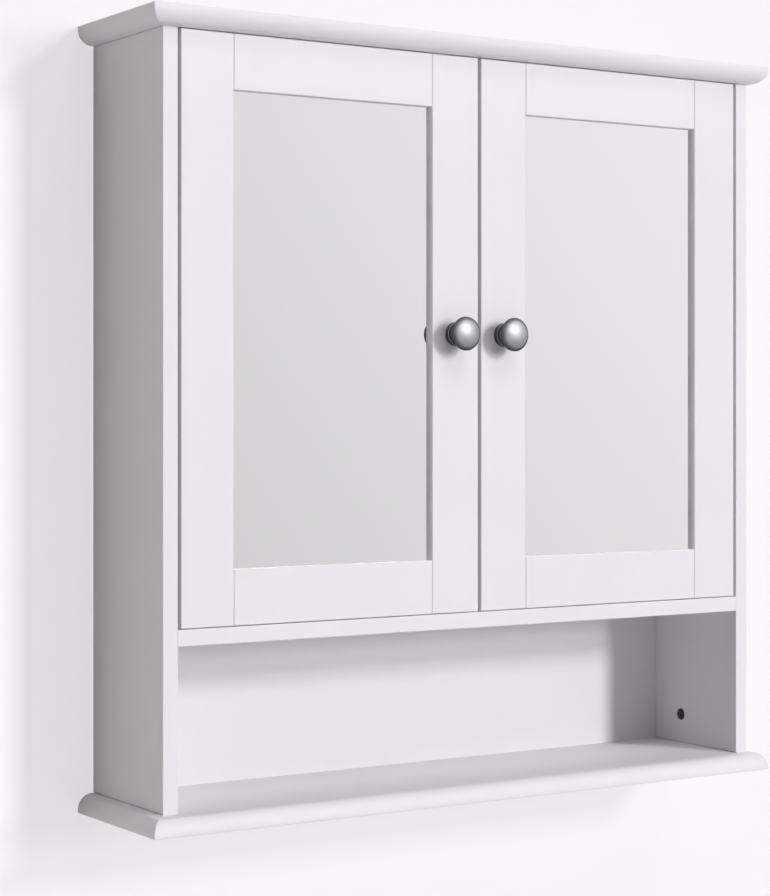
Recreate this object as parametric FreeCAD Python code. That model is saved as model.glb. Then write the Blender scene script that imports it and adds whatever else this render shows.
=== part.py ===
import FreeCAD, Part
import math
import os

V = FreeCAD.Vector
os.makedirs("parts", exist_ok=True)

# Bathroom mirror cabinet, millimetres. The wall is the plane y = 0, the front faces -Y,
# and z = 0 is the underside of the bottom board.

# Carcass
cabinet_height = 580.0
carcass_width = 540.0
carcass_depth = 112.5
moulded_board = 14.0
moulding_overhang = 12.5
moulding_flat = 2.5
panel_thickness = 12.0
fixed_shelf_underside = 131.0
edge_easing = 0.8
panel_end_easing = 0.8

# Sides of the small repeated pegs, screws and holes, of the turned knob and of the hinge cup
peg_sides = 12
screw_sides = 6
knob_sides = 24
cup_sides = 24

# Back panel in its grooves, and the hanging rail
back_thickness = 3.0
back_recess = 6.5
back_groove_depth = 5.0
back_face_play = 0.1
back_edge_play = 0.6
rail_height = 50.0
wall_hole_spacing = 400.0
wall_hole_diameter = 5.0

# Adjustable shelf and its pins
adjustable_shelf_underside = 349.0
shelf_set_back = 25.0
shelf_back_play = 0.5
shelf_end_play = 1.5
pin_diameter = 5.0
pin_hole_depth = 8.0
pin_fit = 0.05
pin_collar_diameter = 8.0
pin_collar_thickness = 1.2
pin_reach = 8.0
pin_flat_height = 1.0
pin_inset = 12.0
pin_row_pitch = 32.0
pin_rows = 3

# Cam fittings and dowels
cam_set_back = 70.0
cam_distance = 24.0
cam_diameter = 10.0
cam_skin = 2.2
cam_recess = 0.4
cam_fit = 0.1
bolt_thread_diameter = 4.6
bolt_shaft_diameter = 4.0
bolt_head_diameter = 5.2
bolt_head_length = 2.4
bolt_grip = 8.5
bolt_fit = 0.15
dowel_diameter = 6.0
dowel_face_depth = 8.5
dowel_end_depth = 15.5
dowel_fit = 0.1
dowel_set_back = 30.0
rail_cam_height = 14.0
rail_dowel_height = 38.0

# Doors
side_gap = 2.5
centre_gap = 3.0
end_gap = 0.6
frame_thickness = 15.0
stile_width = 42.0
rail_width = 40.0
frame_easing = 0.4
frame_joint_easing = 0.8
mirror_set_back = 4.5
mirror_thickness = 3.0
backing_thickness = 3.0
panel_groove_depth = 8.0
panel_face_play = 0.2
panel_edge_play = 1.0
tenon_end_play = 0.5

# Turned knob and its screw
knob_base_radius = 9.2
knob_base_height = 1.2
knob_base_chamfer = 0.5
knob_neck_radius = 8.4
knob_ring_bulge = 0.9
knob_ring_height = 2.2
knob_ring_land = 0.8
knob_ring_gap = 2.0
knob_rings = 2
knob_head_radius = 12.8
knob_rim_distance = 14.3
knob_dome_height = 6.6
knob_rim_radius = 1.2
knob_underside_angle = 60.0
knob_rim_steps = 3
knob_dome_steps = 5
knob_tip_radius = 1.5
knob_thread_depth = 9.0
knob_screw_diameter = 4.0
knob_screw_head_diameter = 8.0
knob_screw_head_height = 2.0
knob_screw_grip = 7.0
screw_fit = 0.1

# Concealed cup hinge with one pin and a goose-neck arm
hinge_end_distance = 70.0
hinge_pin_inset = 10.0
hinge_pin_set_back = 6.5
hinge_pin_diameter = 2.5
hinge_pin_running_fit = 0.05
hinge_pin_seat_fit = 0.02
hinge_pin_end_set_in = 0.3
pin_lug_half_width = 2.5
pin_lug_side_clearance = 0.4
cup_diameter = 26.0
cup_centre_inset = 18.0
cup_bore_depth = 12.0
cup_wall = 0.8
cup_fit = 0.1
cup_flange_thickness = 1.0
cup_flange_rim = 1.2
cup_ear_radius = 5.5
cup_ear_spacing = 38.0
cup_ear_offset = 4.0
arm_thickness = 2.5
arm_height = 10.0
arm_eye_radius = 2.3
arm_bend_radius = 2.6
arm_sweep_clearance = 0.6
arm_neck_clearance = 1.4
arm_length = 70.0
plate_thickness = 3.0
plate_start = 28.0
plate_end = 68.0
plate_height = 16.0
plate_corner = 3.0
wing_thickness = 2.0
wing_centre = 37.0
wing_width = 12.0
wing_overhang = 8.0
wing_screw_spacing = 32.0
arm_screw_front = 32.0
arm_screw_rear = 60.0
hinge_screw_diameter = 3.5
hinge_screw_head_diameter = 6.4
hinge_screw_head_height = 1.7
plate_screw_length = 10.0
cup_screw_length = 11.0
arm_screw_end_set_in = 0.4

# Double magnetic catch and its strike plates
magnet_spacing = 26.0
magnet_width = 12.0
magnet_height = 6.0
magnet_length = 11.0
magnet_drop = 8.0
magnet_proud = 0.8
magnet_fit = 0.1
catch_air_gap = 0.3
catch_body_length = 44.0
catch_body_height = 13.0
catch_body_depth = 14.0
catch_ear_length = 8.0
catch_ear_thickness = 3.0
catch_screw_length = 10.0
strike_length = 16.0
strike_height = 10.0
strike_thickness = 1.4
strike_screw_diameter = 3.0
strike_screw_head_diameter = 5.0
strike_screw_head_height = 1.0
strike_screw_length = 9.0

# Places that follow from the sizes above
half_width = carcass_width / 2
inner = half_width - panel_thickness
front = -carcass_depth
back_face = -(back_recess + back_thickness)
deck = moulded_board
ceiling = cabinet_height - moulded_board
fixed_shelf_top = fixed_shelf_underside + panel_thickness
rail_bottom = ceiling - rail_height
wall_hole_height = ceiling - rail_height / 2
door_left = -inner + side_gap
door_width = inner - side_gap - centre_gap / 2
door_bottom = fixed_shelf_top + end_gap
door_top = ceiling - end_gap
door_middle = (door_bottom + door_top) / 2
opening_bottom = door_bottom + rail_width
opening_top = door_top - rail_width
groove_back = mirror_set_back + mirror_thickness + backing_thickness + panel_face_play
panel_reach = panel_groove_depth - panel_edge_play
hinge_heights = {"upper": door_top - hinge_end_distance, "lower": door_bottom + hinge_end_distance}
cup_radius = cup_diameter / 2
cup_floor = frame_thickness - cup_bore_depth
hinge_pin_radius = hinge_pin_diameter / 2

shapes = {}
cuts = {}


def box(x0, x1, y0, y1, z0, z1):
    return Part.makeBox(x1 - x0, y1 - y0, z1 - z0, V(x0, y0, z0))


def rod(start, direction, length, radius):
    return Part.makeCylinder(radius, length, start, direction)


def peg(start, direction, length, radius, sides=peg_sides):
    # a small round piece or hole as a prism
    first = V(1, 0, 0) if abs(direction.z) > 0.5 else V(0, 0, 1)
    second = direction.cross(first)
    turns = [2 * math.pi * k / sides for k in range(sides)]
    ring = [start + (first * math.cos(a) + second * math.sin(a)) * radius for a in turns]
    return Part.Face(Part.Wire(Part.makePolygon(ring + ring[:1]).Edges)).extrude(direction * length)


def cut_later(node, *tools):
    cuts.setdefault(node, []).extend(tools)


def keep(node, solids):
    shapes[node] = Part.makeCompound(solids) if isinstance(solids, list) else solids


def on_door(u, v, z):
    # u runs inward from the left door's hinge edge, v runs back from its front face
    return V(door_left + u, front + v, z)


def door_box(u0, u1, v0, v1, z0, z1):
    return box(door_left + u0, door_left + u1, front + v0, front + v1, z0, z1)


def easing_wedge(edge, easing, middle):
    # what a plane takes off a front edge, as a prism along the whole edge
    start, end = (p.Point for p in edge.Vertexes)
    run = end - start
    inward = middle - start
    inward = inward - run * (inward.dot(run) / run.dot(run))
    inward = V(inward.x, 0, inward.z).normalize() * easing
    ring = [start, start + inward, start + V(0, easing, 0)]
    return Part.Face(Part.Wire(Part.makePolygon(ring + ring[:1]).Edges)).extrude(run)


def front_edges(shape, y):
    return [e for e in shape.Edges if all(abs(p.Y - y) < 1e-6 for p in e.Vertexes)]


# Moulded boards: the front section meets the end sections in mitres


def moulded_section(outer):
    radius = moulded_board - moulding_flat
    hook = radius * (1 - math.sqrt(0.5))
    edges = [
        Part.LineSegment(V(0, 0, 0), V(outer, 0, 0)).toShape(),
        Part.LineSegment(V(outer, 0, 0), V(outer, 0, moulding_flat)).toShape(),
        Part.Arc(
            V(outer, 0, moulding_flat),
            V(outer - hook, 0, moulded_board - hook),
            V(outer - radius, 0, moulded_board),
        ).toShape(),
        Part.LineSegment(V(outer - radius, 0, moulded_board), V(0, 0, moulded_board)).toShape(),
        Part.LineSegment(V(0, 0, moulded_board), V(0, 0, 0)).toShape(),
    ]
    return Part.Face(Part.Wire(edges))


def moulded_board_form():
    reach = half_width + moulding_overhang
    depth = carcass_depth + moulding_overhang
    right = moulded_section(reach).extrude(V(0, depth, 0))
    right.translate(V(0, -depth, 0))
    both = right.fuse(right.mirror(V(0, 0, 0), V(1, 0, 0))).removeSplitter()
    run = moulded_section(depth).extrude(V(0, 2 * reach, 0))
    run.rotate(V(0, 0, 0), V(0, 0, 1), -90)
    run.translate(V(-reach, 0, 0))
    return both.common(run).removeSplitter()


def upside_down(shape):
    turned = shape.copy()
    turned.rotate(V(0, 0, 0), V(0, 1, 0), 180)
    turned.translate(V(0, 0, cabinet_height))
    return turned


bottom_form = moulded_board_form()
shapes["bottom_board"] = bottom_form
shapes["top_board"] = upside_down(bottom_form)

# Side panels, shelves, hanging rail and back panel


def eased_panel(x0, x1, y1, z0, z1, y0=front, end_easing=0):
    panel = box(x0, x1, y0, y1, z0, z1)
    if end_easing:
        panel = panel.makeChamfer(end_easing, [e for e in panel.Edges if abs(e.Length - (y1 - y0)) < 1e-6])
    long_edges = [e for e in front_edges(panel, y0) if e.Length > 2 * panel_thickness]
    return panel.makeFillet(edge_easing, long_edges)


left_panel_form = eased_panel(-half_width, -inner, 0, deck, ceiling, end_easing=panel_end_easing)
shapes["left_side_panel"] = left_panel_form
shapes["right_side_panel"] = left_panel_form.mirror(V(0, 0, 0), V(1, 0, 0))
shapes["fixed_shelf"] = eased_panel(-inner, inner, back_face, fixed_shelf_underside, fixed_shelf_top)
shelf_half = inner - shelf_end_play
shapes["adjustable_shelf"] = eased_panel(
    -shelf_half,
    shelf_half,
    back_face - shelf_back_play,
    adjustable_shelf_underside,
    adjustable_shelf_underside + panel_thickness,
    front + shelf_set_back,
)
shapes["hanging_rail"] = box(-inner, inner, back_face - panel_thickness, back_face, rail_bottom, ceiling)
back_half = inner + back_groove_depth - back_edge_play
back_low = deck - back_groove_depth + back_edge_play
back_high = ceiling + back_groove_depth - back_edge_play
shapes["back_panel"] = box(-back_half, back_half, back_face, -back_recess, back_low, back_high)

# Grooves for the back panel: through in the sides, stopped in the boards
groove_half = inner + back_groove_depth
groove_front = back_face - back_face_play
groove_rear = -back_recess + back_face_play
groove = box(
    -groove_half,
    groove_half,
    groove_front,
    groove_rear,
    deck - back_groove_depth,
    ceiling + back_groove_depth,
)
for node in ("top_board", "bottom_board", "left_side_panel", "right_side_panel"):
    cut_later(node, groove)

# Holes for the two wall screws
for side in (-1, 1):
    start = V(side * wall_hole_spacing / 2, back_face - panel_thickness, wall_hole_height)
    wall_hole = rod(start, V(0, 1, 0), panel_thickness + back_thickness, wall_hole_diameter / 2)
    cut_later("hanging_rail", wall_hole)
    cut_later("back_panel", wall_hole)

# Cam bolts, cam locks and dowels
cam_bolts = []
cam_locks = []
wood_dowels = []


def cam_fitting(joint, into, face, cam_panel, bolt_panel):
    # joint is on the bolt's axis where the two boards meet, into runs to the cam, face to its mouth
    thread_radius = bolt_thread_diameter / 2
    shaft_length = cam_distance - bolt_head_length / 2
    bolt = peg(joint - into * bolt_grip, into, bolt_grip, thread_radius, screw_sides)
    bolt = bolt.fuse(peg(joint, into, shaft_length, bolt_shaft_diameter / 2, screw_sides))
    head_start = joint + into * shaft_length
    bolt = bolt.fuse(peg(head_start, into, bolt_head_length, bolt_head_diameter / 2, screw_sides))
    cam_bolts.append(bolt.removeSplitter())
    pocket_depth = panel_thickness - cam_skin
    mouth = joint + into * cam_distance + face * (panel_thickness / 2)
    cam = peg(mouth - face * cam_recess, face * -1, pocket_depth - cam_recess, cam_diameter / 2)
    throat_radius = bolt_head_diameter / 2 + bolt_fit
    throat_length = cam_distance + bolt_head_length / 2 + bolt_fit
    throat = peg(joint, into, throat_length, throat_radius, screw_sides)
    cam_locks.append(cam.cut(throat))
    cut_later(cam_panel, peg(mouth, face * -1, pocket_depth, cam_diameter / 2 + cam_fit), throat)
    thread_depth = bolt_grip + bolt_fit
    thread_start = joint - into * thread_depth
    cut_later(bolt_panel, peg(thread_start, into, thread_depth, thread_radius + bolt_fit, screw_sides))


def wood_dowel(joint, into, end_panel, face_panel):
    length = dowel_face_depth + dowel_end_depth
    wood_dowels.append(peg(joint - into * dowel_face_depth, into, length, dowel_diameter / 2))
    hole_start = joint - into * (dowel_face_depth + dowel_fit)
    hole = peg(hole_start, into, length + 2 * dowel_fit, dowel_diameter / 2 + dowel_fit)
    cut_later(end_panel, hole)
    cut_later(face_panel, hole)


UP = V(0, 0, 1)
DOWN = V(0, 0, -1)
FORWARD = V(0, -1, 0)
BACKWARD = V(0, 1, 0)
rail_axis = back_face - panel_thickness / 2
shelf_axis = fixed_shelf_underside + panel_thickness / 2

for side, side_panel in ((-1, "left_side_panel"), (1, "right_side_panel")):
    inward = V(-side, 0, 0)
    panel_axis = side * (half_width - panel_thickness / 2)
    cam_y = front + cam_set_back
    dowel_y = front + dowel_set_back
    cam_fitting(V(panel_axis, cam_y, deck), UP, inward, side_panel, "bottom_board")
    cam_fitting(V(panel_axis, cam_y, ceiling), DOWN, inward, side_panel, "top_board")
    cam_fitting(V(side * inner, cam_y, shelf_axis), inward, DOWN, "fixed_shelf", side_panel)
    rail_cam_joint = V(side * inner, rail_axis, rail_bottom + rail_cam_height)
    cam_fitting(rail_cam_joint, inward, FORWARD, "hanging_rail", side_panel)
    wood_dowel(V(panel_axis, dowel_y, deck), UP, side_panel, "bottom_board")
    wood_dowel(V(panel_axis, dowel_y, ceiling), DOWN, side_panel, "top_board")
    wood_dowel(V(side * inner, dowel_y, shelf_axis), inward, "fixed_shelf", side_panel)
    rail_dowel_joint = V(side * inner, rail_axis, rail_bottom + rail_dowel_height)
    wood_dowel(rail_dowel_joint, inward, "hanging_rail", side_panel)

keep("cam_bolts", cam_bolts)
keep("cam_locks", cam_locks)
keep("wood_dowels", wood_dowels)

# Shelf pins with a flat top, and the rows of spare holes
shelf_pins = []
pin_axis_height = adjustable_shelf_underside - pin_flat_height
for side, side_panel in ((-1, "left_side_panel"), (1, "right_side_panel")):
    inward = V(-side, 0, 0)
    for pin_y in (front + shelf_set_back + pin_inset, back_face - shelf_back_play - pin_inset):
        at_face = V(side * inner, pin_y, pin_axis_height)
        shank = peg(at_face - inward * pin_hole_depth, inward, pin_hole_depth, pin_diameter / 2 - pin_fit)
        collar = peg(at_face, inward, pin_collar_thickness, pin_collar_diameter / 2)
        rest = peg(at_face, inward, pin_reach, pin_collar_diameter / 2 - pin_flat_height)
        above = Part.makeBox(
            2 * pin_reach,
            pin_collar_diameter,
            pin_collar_diameter,
            at_face + V(-pin_reach, -pin_collar_diameter / 2, pin_flat_height),
        )
        beside_shelf = peg(at_face, inward, pin_collar_thickness, pin_collar_diameter)
        rest = rest.cut(above.cut(beside_shelf))
        shelf_pins.append(shank.fuse([collar, rest]).removeSplitter())
        for row in range(pin_rows):
            rise = UP * ((row - (pin_rows - 1) / 2) * pin_row_pitch)
            hole_floor = at_face - inward * pin_hole_depth + rise
            cut_later(side_panel, peg(hole_floor, inward, pin_hole_depth, pin_diameter / 2))
keep("shelf_pins", shelf_pins)


# Screws: a pan head and a plain shank


def screw(seat, drive, head_diameter, head_height, shank_diameter, shank_length):
    head = peg(seat, drive * -1, head_height, head_diameter / 2, screw_sides)
    return head.fuse(peg(seat, drive, shank_length, shank_diameter / 2, screw_sides)).removeSplitter()


def screw_hole(seat, drive, depth, shank_diameter):
    return peg(seat, drive, depth, shank_diameter / 2 + screw_fit, screw_sides)


# Left door, then its mirror image on the right
left_door = {}
left_door_cuts = {}
left_fittings = {}


def door_cut_later(node, *tools):
    left_door_cuts.setdefault(node, []).extend(tools)


def eased_bar(u0, u1, z0, z1, joints):
    # the front edges are eased, more so at the joints, given by their distance from the hinge edge
    bar = door_box(u0, u1, 0, frame_thickness, z0, z1)
    places = [door_left + joint for joint in joints]
    edges = front_edges(bar, front)
    at_joint = [e for e in edges if any(all(abs(p.X - x) < 1e-6 for p in e.Vertexes) for x in places)]
    others = [e for e in edges if not any(e.isSame(j) for j in at_joint)]
    wedges = [easing_wedge(e, frame_joint_easing, bar.CenterOfMass) for e in at_joint]
    wedges += [easing_wedge(e, frame_easing, bar.CenterOfMass) for e in others]
    return bar.cut(wedges).Solids[0]


def rail_with_tenons(z0, z1, groove_z0, groove_z1):
    tenon = panel_groove_depth - tenon_end_play
    rail_ends = (stile_width, door_width - stile_width)
    rail = eased_bar(*rail_ends, z0, z1, rail_ends)
    tongue = door_box(
        stile_width - tenon,
        door_width - stile_width + tenon,
        mirror_set_back,
        groove_back - panel_face_play,
        z0,
        z1,
    )
    rail = rail.fuse(tongue).removeSplitter()
    return rail.cut(door_box(0, door_width, mirror_set_back, groove_back, groove_z0, groove_z1))


knob_stile_edge = door_width - stile_width
left_door["hinge_stile"] = eased_bar(0, stile_width, door_bottom, door_top, [stile_width])
left_door["knob_stile"] = eased_bar(knob_stile_edge, door_width, door_bottom, door_top, [knob_stile_edge])
left_door["top_rail"] = rail_with_tenons(
    opening_top, door_top, opening_top, opening_top + panel_groove_depth
)
left_door["bottom_rail"] = rail_with_tenons(
    door_bottom, opening_bottom, opening_bottom - panel_groove_depth, opening_bottom
)
stile_groove = door_box(
    stile_width - panel_groove_depth,
    door_width - stile_width + panel_groove_depth,
    mirror_set_back,
    groove_back,
    door_bottom,
    door_top,
)
door_cut_later("hinge_stile", stile_groove)
door_cut_later("knob_stile", stile_groove)


def door_panel(v0, thickness):
    return door_box(
        stile_width - panel_reach,
        door_width - stile_width + panel_reach,
        v0,
        v0 + thickness,
        opening_bottom - panel_reach,
        opening_top + panel_reach,
    )


left_door["mirror"] = door_panel(mirror_set_back, mirror_thickness)
left_door["mirror_backing"] = door_panel(mirror_set_back + mirror_thickness, backing_thickness)

# Knob turned about the Y axis, its screw through the stile from the rear


def knob_profile():
    # radius and distance from the door at each turned edge, from the base to the tip
    rings = [(knob_base_radius, 0), (knob_base_radius, knob_base_height)]
    distance = knob_base_height + knob_base_chamfer
    rings.append((knob_neck_radius, distance))
    shoulder = (knob_ring_height - knob_ring_land) / 2
    for ring in range(knob_rings):
        distance += knob_ring_gap
        crest = knob_neck_radius + knob_ring_bulge
        rings.append((knob_neck_radius, distance))
        rings.append((crest, distance + shoulder))
        rings.append((crest, distance + shoulder + knob_ring_land))
        distance += knob_ring_height
        rings.append((knob_neck_radius, distance))
    ring_radius = knob_head_radius - knob_rim_radius
    span = ring_radius**2 + knob_dome_height**2 - knob_rim_radius**2
    dome_radius = span / (2 * (knob_dome_height - knob_rim_radius))
    dome_centre = knob_rim_distance + knob_dome_height - dome_radius
    lean = math.atan2(ring_radius, knob_rim_distance - dome_centre)
    under = math.radians(knob_underside_angle)
    back = ring_radius + knob_rim_radius * math.cos(under)
    cone_length = (back - knob_neck_radius) / math.tan(under)
    neck_end = knob_rim_distance - knob_rim_radius * math.sin(under) - cone_length
    rings.append((knob_neck_radius, neck_end))
    for step in range(knob_rim_steps + 1):
        angle = -under + (under + math.pi / 2 - lean) * step / knob_rim_steps
        radius = ring_radius + knob_rim_radius * math.cos(angle)
        rings.append((radius, knob_rim_distance + knob_rim_radius * math.sin(angle)))
    tip = math.asin(knob_tip_radius / dome_radius)
    for step in range(1, knob_dome_steps + 1):
        angle = lean + (tip - lean) * step / knob_dome_steps
        rings.append((dome_radius * math.sin(angle), dome_centre + dome_radius * math.cos(angle)))
    return rings


def turned_knob(seat):
    turns = [2 * math.pi * k / knob_sides for k in range(knob_sides)]
    rings = [
        [seat + V(radius * math.cos(a), -distance, radius * math.sin(a)) for a in turns]
        for radius, distance in knob_profile()
    ]
    outlines = [rings[0], rings[-1]]
    for lower, upper in zip(rings, rings[1:]):
        for k in range(knob_sides):
            after = (k + 1) % knob_sides
            outlines.append([lower[k], lower[after], upper[after], upper[k]])
    facets = [Part.Face(Part.Wire(Part.makePolygon(o + o[:1]).Edges)) for o in outlines]
    return Part.makeSolid(Part.makeShell(facets))


knob_seat = on_door(door_width - stile_width / 2, 0, door_middle)
knob_bore = screw_hole(knob_seat, FORWARD, knob_thread_depth, knob_screw_diameter)
left_door["knob"] = turned_knob(knob_seat).cut(knob_bore)
knob_screw_seat = knob_seat + V(0, frame_thickness, 0)
left_door["knob_screw"] = screw(
    knob_screw_seat,
    FORWARD,
    knob_screw_head_diameter,
    knob_screw_head_height,
    knob_screw_diameter,
    frame_thickness + knob_screw_grip,
)
door_cut_later("knob_stile", screw_hole(knob_screw_seat, FORWARD, frame_thickness, knob_screw_diameter))

# Strike plate behind the top of the knob stile, its screw let in flush
strike_u = door_width + centre_gap / 2 - magnet_spacing / 2
strike_z = ceiling - magnet_drop
strike_seat = on_door(strike_u, frame_thickness, strike_z)
strike = door_box(
    strike_u - strike_length / 2,
    strike_u + strike_length / 2,
    frame_thickness,
    frame_thickness + strike_thickness,
    strike_z - strike_height / 2,
    strike_z + strike_height / 2,
)
strike_head_seat = strike_seat + V(0, strike_thickness - strike_screw_head_height, 0)
strike_screw = screw(
    strike_head_seat,
    FORWARD,
    strike_screw_head_diameter,
    strike_screw_head_height,
    strike_screw_diameter,
    strike_screw_length,
)
strike = strike.cut(screw_hole(strike_seat, BACKWARD, strike_thickness, strike_screw_diameter))
left_door["strike_plate"] = strike.cut(
    screw_hole(strike_head_seat, BACKWARD, strike_screw_head_height, strike_screw_head_diameter)
)
left_door["strike_screw"] = strike_screw
strike_hole_depth = strike_screw_length - strike_thickness + strike_screw_head_height + screw_fit
door_cut_later("knob_stile", screw_hole(strike_seat, FORWARD, strike_hole_depth, strike_screw_diameter))

# Hinges


def edges_along_x(shape):
    return [e for e in shape.Edges if abs(e.tangentAt(e.FirstParameter).x) > 0.9]


def bent_strip(corners, bend_radius, thickness, height, z):
    # a flat strip on edge, bent along a path given in the door's u and v
    points = [on_door(u, v, z) for u, v in corners]
    edges = []
    start = points[0]
    for before, corner, after in zip(points, points[1:], points[2:]):
        back = (before - corner).normalize()
        ahead = (after - corner).normalize()
        half_turn = math.acos(max(-1.0, min(1.0, back.dot(ahead)))) / 2
        tangent = bend_radius / math.tan(half_turn)
        first = corner + back * tangent
        last = corner + ahead * tangent
        centre = corner + (back + ahead).normalize() * (bend_radius / math.sin(half_turn))
        middle = centre + (corner - centre).normalize() * bend_radius
        edges.append(Part.LineSegment(start, first).toShape())
        edges.append(Part.Arc(first, middle, last).toShape())
        start = last
    edges.append(Part.LineSegment(start, points[-1]).toShape())
    heading = (points[1] - points[0]).normalize()
    side = UP.cross(heading) * (thickness / 2)
    rise = UP * (height / 2)
    first = points[0]
    ring = [first - side - rise, first + side - rise, first + side + rise, first - side + rise]
    section = Part.Wire(Part.makePolygon(ring + ring[:1]).Edges)
    return Part.Wire(edges).makePipeShell([section], True, False)


door_corner_sweep = math.hypot(hinge_pin_inset, frame_thickness - hinge_pin_set_back)
arm_cross_v = hinge_pin_set_back + door_corner_sweep + arm_sweep_clearance + arm_thickness / 2
flange_sweep = frame_thickness + cup_flange_thickness - hinge_pin_set_back
arm_neck_u = hinge_pin_inset + flange_sweep + arm_neck_clearance + arm_thickness / 2
plate_top = plate_thickness - side_gap
arm_foot_u = plate_top + arm_thickness / 2
arm_path = [
    (hinge_pin_inset, hinge_pin_set_back),
    (arm_neck_u, hinge_pin_set_back),
    (arm_neck_u, arm_cross_v),
    (arm_foot_u, arm_cross_v),
    (arm_foot_u, arm_length),
]
INTO_PANEL = V(-1, 0, 0)
hinge_cups = []
hinge_pins = []
cup_screws = []
plate_screws = []
arm_screws = []

for level, hinge_z in hinge_heights.items():
    pin_at = on_door(hinge_pin_inset, hinge_pin_set_back, hinge_z)
    cup_at = on_door(cup_centre_inset, frame_thickness, hinge_z)

    # Cup pressed into the stile, with a flange and two screw ears
    cup = peg(cup_at, FORWARD, cup_bore_depth - cup_fit, cup_radius, cup_sides)
    flange = peg(cup_at, BACKWARD, cup_flange_thickness, cup_radius + cup_flange_rim, cup_sides)
    ear_u = cup_centre_inset + cup_ear_offset
    web = door_box(
        ear_u - cup_ear_radius,
        ear_u + cup_ear_radius,
        frame_thickness,
        frame_thickness + cup_flange_thickness,
        hinge_z - cup_ear_spacing / 2,
        hinge_z + cup_ear_spacing / 2,
    )
    ear_seats = [on_door(ear_u, frame_thickness, hinge_z + end * cup_ear_spacing / 2) for end in (-1, 1)]
    ears = [peg(seat, BACKWARD, cup_flange_thickness, cup_ear_radius) for seat in ear_seats]
    cup = cup.fuse([flange, web] + ears).removeSplitter()
    hollow_depth = cup_bore_depth - cup_fit - cup_wall
    cup = cup.cut(peg(cup_at, FORWARD, hollow_depth, cup_radius - cup_wall, cup_sides))
    cup = cup.cut(peg(cup_at, BACKWARD, cup_flange_thickness, cup_radius - cup_wall, cup_sides))
    for seat in ear_seats:
        cup = cup.cut(screw_hole(seat, BACKWARD, cup_flange_thickness, hinge_screw_diameter))
        head_seat = seat + V(0, cup_flange_thickness, 0)
        cup_screws.append(
            screw(
                head_seat,
                FORWARD,
                hinge_screw_head_diameter,
                hinge_screw_head_height,
                hinge_screw_diameter,
                cup_screw_length,
            )
        )
        door_cut_later("hinge_stile", screw_hole(seat, FORWARD, cup_screw_length, hinge_screw_diameter))
    door_cut_later("hinge_stile", peg(cup_at, FORWARD, cup_bore_depth, cup_radius + cup_fit, cup_sides))

    # Pin riveted in two lugs inside the cup, one on each side of the arm
    lug_start = arm_height / 2 + pin_lug_side_clearance
    lugs = []
    for end in (-1, 1):
        z0, z1 = sorted((hinge_z + end * lug_start, hinge_z + end * cup_radius))
        lug = door_box(
            hinge_pin_inset - pin_lug_half_width,
            hinge_pin_inset + pin_lug_half_width,
            cup_floor + cup_fit,
            hinge_pin_set_back + pin_lug_half_width,
            z0,
            z1,
        )
        lugs.append(lug.common(peg(cup_at, FORWARD, cup_bore_depth - cup_fit, cup_radius, cup_sides)))
    cup = cup.fuse(lugs).removeSplitter()
    pin_offset = cup_centre_inset - hinge_pin_inset + hinge_pin_radius
    pin_half = math.sqrt(cup_radius**2 - pin_offset**2) - hinge_pin_end_set_in
    hinge_pins.append(rod(pin_at - UP * pin_half, UP, 2 * pin_half, hinge_pin_radius))
    seat_radius = (hinge_pin_radius + hinge_pin_seat_fit) / math.cos(math.pi / peg_sides)
    hinge_cups.append(cup.cut(peg(pin_at - UP * pin_half, UP, 2 * pin_half, seat_radius)))

    # Goose-neck arm: an eye on the pin, out through the cup's mouth, round the door's edge to the panel
    arm = bent_strip(arm_path, arm_bend_radius, arm_thickness, arm_height, hinge_z)
    arm_low = pin_at - UP * (arm_height / 2)
    arm = arm.fuse(peg(arm_low, UP, arm_height, arm_eye_radius)).removeSplitter()
    arm = arm.cut(rod(arm_low, UP, arm_height, hinge_pin_radius + hinge_pin_running_fit))

    # Mounting plate with two wings, screwed to the side panel
    body = door_box(
        -side_gap, plate_top, plate_start, plate_end, hinge_z - plate_height / 2, hinge_z + plate_height / 2
    )
    body = body.makeChamfer(plate_corner, edges_along_x(body))
    wing_half = wing_screw_spacing / 2 + wing_overhang
    wing = door_box(
        -side_gap,
        -side_gap + wing_thickness,
        wing_centre - wing_width / 2,
        wing_centre + wing_width / 2,
        hinge_z - wing_half,
        hinge_z + wing_half,
    )
    wing = wing.makeChamfer(plate_corner, edges_along_x(wing))
    plate = body.fuse(wing).removeSplitter()
    for end in (-1, 1):
        seat = on_door(-side_gap + wing_thickness, wing_centre, hinge_z + end * wing_screw_spacing / 2)
        hole = screw_hole(seat, INTO_PANEL, plate_screw_length, hinge_screw_diameter)
        plate = plate.cut(hole)
        cut_later("left_side_panel", hole)
        cut_later("right_side_panel", hole.mirror(V(0, 0, 0), V(1, 0, 0)))
        plate_screws.append(
            screw(
                seat,
                INTO_PANEL,
                hinge_screw_head_diameter,
                hinge_screw_head_height,
                hinge_screw_diameter,
                plate_screw_length,
            )
        )

    # Screws that clamp the arm on its plate
    arm_screw_length = arm_thickness + plate_thickness - arm_screw_end_set_in
    for arm_screw_v in (arm_screw_front, arm_screw_rear):
        seat = on_door(plate_top + arm_thickness, arm_screw_v, hinge_z)
        hole = screw_hole(seat, INTO_PANEL, arm_thickness + plate_thickness, hinge_screw_diameter)
        arm = arm.cut(hole)
        plate = plate.cut(hole)
        arm_screws.append(
            screw(
                seat,
                INTO_PANEL,
                hinge_screw_head_diameter,
                hinge_screw_head_height,
                hinge_screw_diameter,
                arm_screw_length,
            )
        )
    left_fittings[level + "_hinge_arm"] = arm
    left_fittings[level + "_hinge_plate"] = plate

left_door["hinge_cups"] = Part.makeCompound(hinge_cups)
left_door["hinge_pins"] = Part.makeCompound(hinge_pins)
left_door["cup_screws"] = Part.makeCompound(cup_screws)

for node, tools in left_door_cuts.items():
    left_door[node] = left_door[node].cut(tools)

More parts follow.
